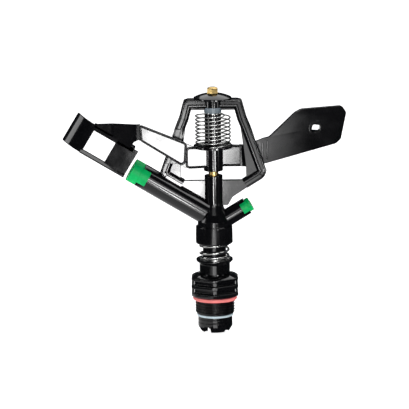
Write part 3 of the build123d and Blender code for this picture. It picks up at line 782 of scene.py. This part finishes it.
# Rims carried round each window of the arm, on thin webs.
def swingArm(v):
    rail = railSection(v["rim"], v["depth"], 0.72)
    inner = v["rim"] / 2
    leftLoop = rounded([(-18.1, 104.5 - inner), (-48.2, 118.2 - inner), (-47.1, 107.5),
                        (-19.2, 88.1 + inner)], [2.2, 1.2, 1.2, 2.2])
    leftHub = rounded([(-4.0, 87.0 + inner), (-17.7, 87.1 + inner), (-17.7, 100.9), (-4.0, 100.5)],
                      [0.4, 2.0, 2.0, 0.4])
    rightHub = rounded([(4.0, 86.6 + inner), (18.2, 85.9 + inner), (18.2, 99.4), (4.0, 100.3)],
                       [0.4, 1.5, 1.5, 0.4])
    rightPost = rounded([(17.4, 86.0), (22.6, 85.6), (22.6, 99.8), (17.4, 100.4)], 0.6)
    leftWeb = rounded([(0, 87.3), (-18.6, 87.5), (-46.8, 106.8), (-48.6, 117.8), (-17.4, 103.8), (-12, 101.2),
                       (0, 100.6)], 0.6)
    rightWeb = rounded([(0, 87.0), (20.0, 86.3), (20.0, 99.4), (0, 100.6)], 0.6)
    shells = [armHub(v), swept(leftLoop, rail, onArm), swept(leftHub, rail, onArm),
              swept(rightHub, rail, onArm), plate(rightPost, v["depth"], 0.4, onArm),
              plate(leftWeb, v["web"], 0.3, onArm), plate(rightWeb, v["web"], 0.3, onArm)]
    shells += paddleShells(v) + [wedgeShell(v)] + spoonShells(spoon, v["spoonPlane"])
    return makePiece("swingArm", shells, blackAcetal, "arm", ["swing_arm"], smoothAngle=33)


# Plate with a round hole: rings of the outline, the faces between outline and hole, and the hole's wall.
def holedPlate(outline, centre, hole, thickness, edge, place):
    c = np.asarray(centre, float)
    corner = np.arctan2(outline[:, 1] - c[1], outline[:, 0] - c[0])
    angles = np.sort(corner)
    radius = polar(outline, c, angles)
    ring = np.stack([np.cos(angles), np.sin(angles)], 1)
    t, nick = thickness / 2, edge * 0.3
    inset = np.array([edge, nick, 0, 0, nick, edge])
    depth = np.array([-t, -t, -t + nick, -t + edge, t - edge, t - nick, t, t])
    wall = np.full((1, len(angles)), hole)
    r = np.concatenate([wall, radius - inset[:, None], wall])
    flat = c + ring * r[..., None]
    return sheetOf(place(flat[..., 0], depth[:, None] + 0 * r, flat[..., 1]), loopRows=True, loopColumns=True)


armSpring = {"mean": 11.35, "wire": 1.0, "turns": 8.1, "low": 101.6, "high": 121.9, "endTurn": 0.83,
             "leg": (2.0, 0.9), "hookReach": 5.0, "hookRise": 0.6, "hookEnd": (5.2, 0.75, 1.1), "steps": 1000}


# Torsion spring: even turns, a short leg down into the plate below, and a hook above that turns in to the
# boss. The hook is the curve (1 - s)^2 * last + 2s(1 - s) * control + s^2 * inner.
def torsionSpring(v):
    t = np.linspace(0, v["turns"], v["steps"])
    z = v["low"] + (v["high"] - v["low"]) * t / v["turns"]
    angle = 2 * pi * (t - v["turns"] + v["endTurn"])      # the top end comes in on the right, at the front
    coil = np.stack([v["mean"] * np.cos(angle), v["mean"] * np.sin(angle), z], 1)
    share = np.linspace(0, 1, 40)[1:, None]
    last, forward = coil[-1], coil[-1] - coil[-2]
    forward /= np.linalg.norm(forward)
    radius, turn, rise = v["hookEnd"]
    inner = np.array([radius * np.cos(angle[-1] + turn), radius * np.sin(angle[-1] + turn), v["high"] + rise])
    control = last + forward * v["hookReach"] + (0, 0, v["hookRise"])
    hook = last * (1 - share) ** 2 + 2 * control * share * (1 - share) + inner * share ** 2
    first, back = coil[0], coil[0] - coil[1]
    back /= np.linalg.norm(back)
    long, drop = v["leg"]
    leg = first + back * (long * (1 - share)) + np.array([0, 0, -drop]) * (1 - share) ** 2
    line = np.concatenate([leg, coil, hook])
    spring = makePiece("armSpring", [wireAlong(line, v["wire"] / 2, sides=12)], springSteel, None,
                       ["arm_spring"], smoothAngle=60)
    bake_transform(spring)
    return spring


swingArm(arm)
torsionSpring(armSpring)
print("arm made")

# Inner nodes whose shape is right already: they only get a finish.
kept = {
    "upper_thrust_washer": whiteNylon, "seal_washer": blackRubber, "spring_seat_washer": springSteel,
    "pivot_pin": brass, "hub_washer": springSteel, "main_nozzle_seal": blackRubber,
    # the arm's bushes take the white nylon darkened with painted shade
    "stream_straightener": greyPlastic, "aux_nozzle_seal": blackRubber, "arm_bush_lower": nylonBushPaintedShade,
    "arm_bush_upper": nylonBushPaintedShade,
}
for name, material in kept.items():
    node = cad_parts[name]
    node.data.materials.clear()
    node.data.materials.append(material)
print("kept nodes dressed:", len(kept))

studio = {"floor": "#FFFFFF", "glow": 1.0, "floorZ": -0.0236, "halfWidth": 9.0,
          "distance": 2.6, "lens": 346.0, "elevation": 11.5, "roll": -0.75, "aim": (-0.0062, 0.0, 0.0638)}


# Lit table: a flat white sheet that glows evenly, so no side of the room ends in a dark edge.
# It lies 2 mm below the foot, which is how far the head can drop.
def lightTable(v):
    w, z = v["halfWidth"], v["floorZ"]
    mesh = bpy.data.meshes.new("lightTable")
    mesh.from_pydata([(-w, -w, z), (w, -w, z), (w, w, z), (-w, w, z)], [], [(0, 1, 2, 3)])
    floor = bpy.data.objects.new("lightTable", mesh)
    bpy.context.scene.collection.objects.link(floor)
    paper = newMaterial("paperLit", Base_Color=linear(v["floor"]), Roughness=0.9, Specular_IOR_Level=0.0,
                        Emission_Color=linear(v["floor"]), Emission_Strength=v["glow"])
    mesh.materials.append(paper[0])
    floor.visible_glossy = False          # the gloss mirrors only the cards and the dim room
    return floor


# Rectangular area light aimed at a point. A wash only lights, and a card only shows in the gloss.
def softbox(name, at, towards, size, power, role="wash"):
    light = bpy.data.lights.new(name, "AREA")
    light.shape, light.size, light.size_y = "RECTANGLE", size[0], size[1]
    light.energy = power
    lamp = bpy.data.objects.new(name, light)
    bpy.context.scene.collection.objects.link(lamp)
    lamp.location = at
    lamp.rotation_euler = (Vector(towards) - Vector(at)).to_track_quat("-Z", "Y").to_euler()
    lamp.visible_camera = False
    lamp.visible_glossy, lamp.visible_diffuse = role != "wash", role != "card"


def makeCamera(v):
    camera = bpy.data.objects.new("camera", bpy.data.cameras.new("camera"))
    bpy.context.scene.collection.objects.link(camera)
    camera.data.lens, camera.data.sensor_width = v["lens"], 36.0
    camera.data.clip_start, camera.data.clip_end = 0.05, 20.0
    e = radians(v["elevation"])
    aim = Vector(v["aim"])
    camera.location = aim + Vector((0, -cos(e), sin(e))) * v["distance"]
    look = (aim - camera.location).to_track_quat("-Z", "Y")
    camera.rotation_euler = (look.to_matrix() @ Matrix.Rotation(radians(v["roll"]), 3, "Z")).to_euler()
    bpy.context.scene.camera = camera


lightTable(studio)
softbox("overhead", (0.0, 0.1, 1.5), (0, 0.1, 0), (1.8, 1.6), 14.0)
softbox("frontWash", (0.0, -1.2, 0.5), (0, 0, 0.06), (0.8, 0.5), 3.5, role="both")
# Small reflectors round the object, seen only in its gloss: each stands where one face or tube mirrors it
# to the camera. The columns are name, place, aim, width and height in metres, and power in watts.
cards = [
    ("leftLowCard", (-0.024, -0.42, -0.010), (-0.024, 0, 0.072), (0.034, 0.032), 0.17),
    ("leftHighCard", (-0.028, -0.42, 0.034), (-0.024, 0, 0.11), (0.030, 0.052), 0.055),
    ("wideCard", (0.018, -0.43, 0.012), (0.018, 0, 0.09), (0.096, 0.085), 0.08),
    ("armCard", (0.153, -0.40, 0.0235), (-0.01, 0, 0.10), (0.070, 0.045), 0.36),
    ("hubCard", (0.201, -0.40, 0.0235), (0.01, 0, 0.10), (0.022, 0.041), 0.016),
    ("neckCard", (0.228, -0.40, 0.024), (0.03, 0, 0.10), (0.026, 0.06), 0.009),
    ("lowCard", (-0.01, -0.42, -0.090), (-0.01, 0, 0.01), (0.20, 0.10), 0.22),
    ("flashCard", (0.035, -0.42, 0.122), (0.0, 0, 0.08), (0.075, 0.045), 0.27),
    ("groundCard", (-0.05, 0.0, -0.018), (-0.05, 0, 0.5), (0.09, 0.50), 0.13),
    ("leftNutCard", (-0.39, -0.20, 0.043), (0, 0, 0.14), (0.09, 0.05), 0.10),
    ("rightNutCard", (0.39, -0.20, 0.043), (0, 0, 0.14), (0.09, 0.05), 0.045),
    ("vaneCard", (-0.47, -0.03, 0.27), (-0.09, 0, 0.12), (0.20, 0.16), 0.42),
    ("skyCard", (0.12, 0.35, 0.60), (0, 0, 0.09), (0.70, 0.50), 2.2),
    ("ledgeCard", (0.29, -0.11, 0.55), (-0.07, 0, 0.08), (0.25, 0.25), 0.8),
    ("rearCard", (0.0, 0.43, 0.0), (0, 0, 0.09), (0.30, 0.09), 0.22),
]
for name, at, towards, size, power in cards:
    softbox(name, at, towards, size, power, role="card")
room = {"colour": "#5A6068", "strength": 0.15}
world = bpy.data.worlds.new("room")
bpy.context.scene.world = world
world.use_nodes = True
background = world.node_tree.nodes["Background"]
background.inputs["Color"].default_value = linear(room["colour"])
background.inputs["Strength"].default_value = room["strength"]
bpy.context.scene.view_settings.view_transform = "Standard"
makeCamera(studio)
print("stage made")
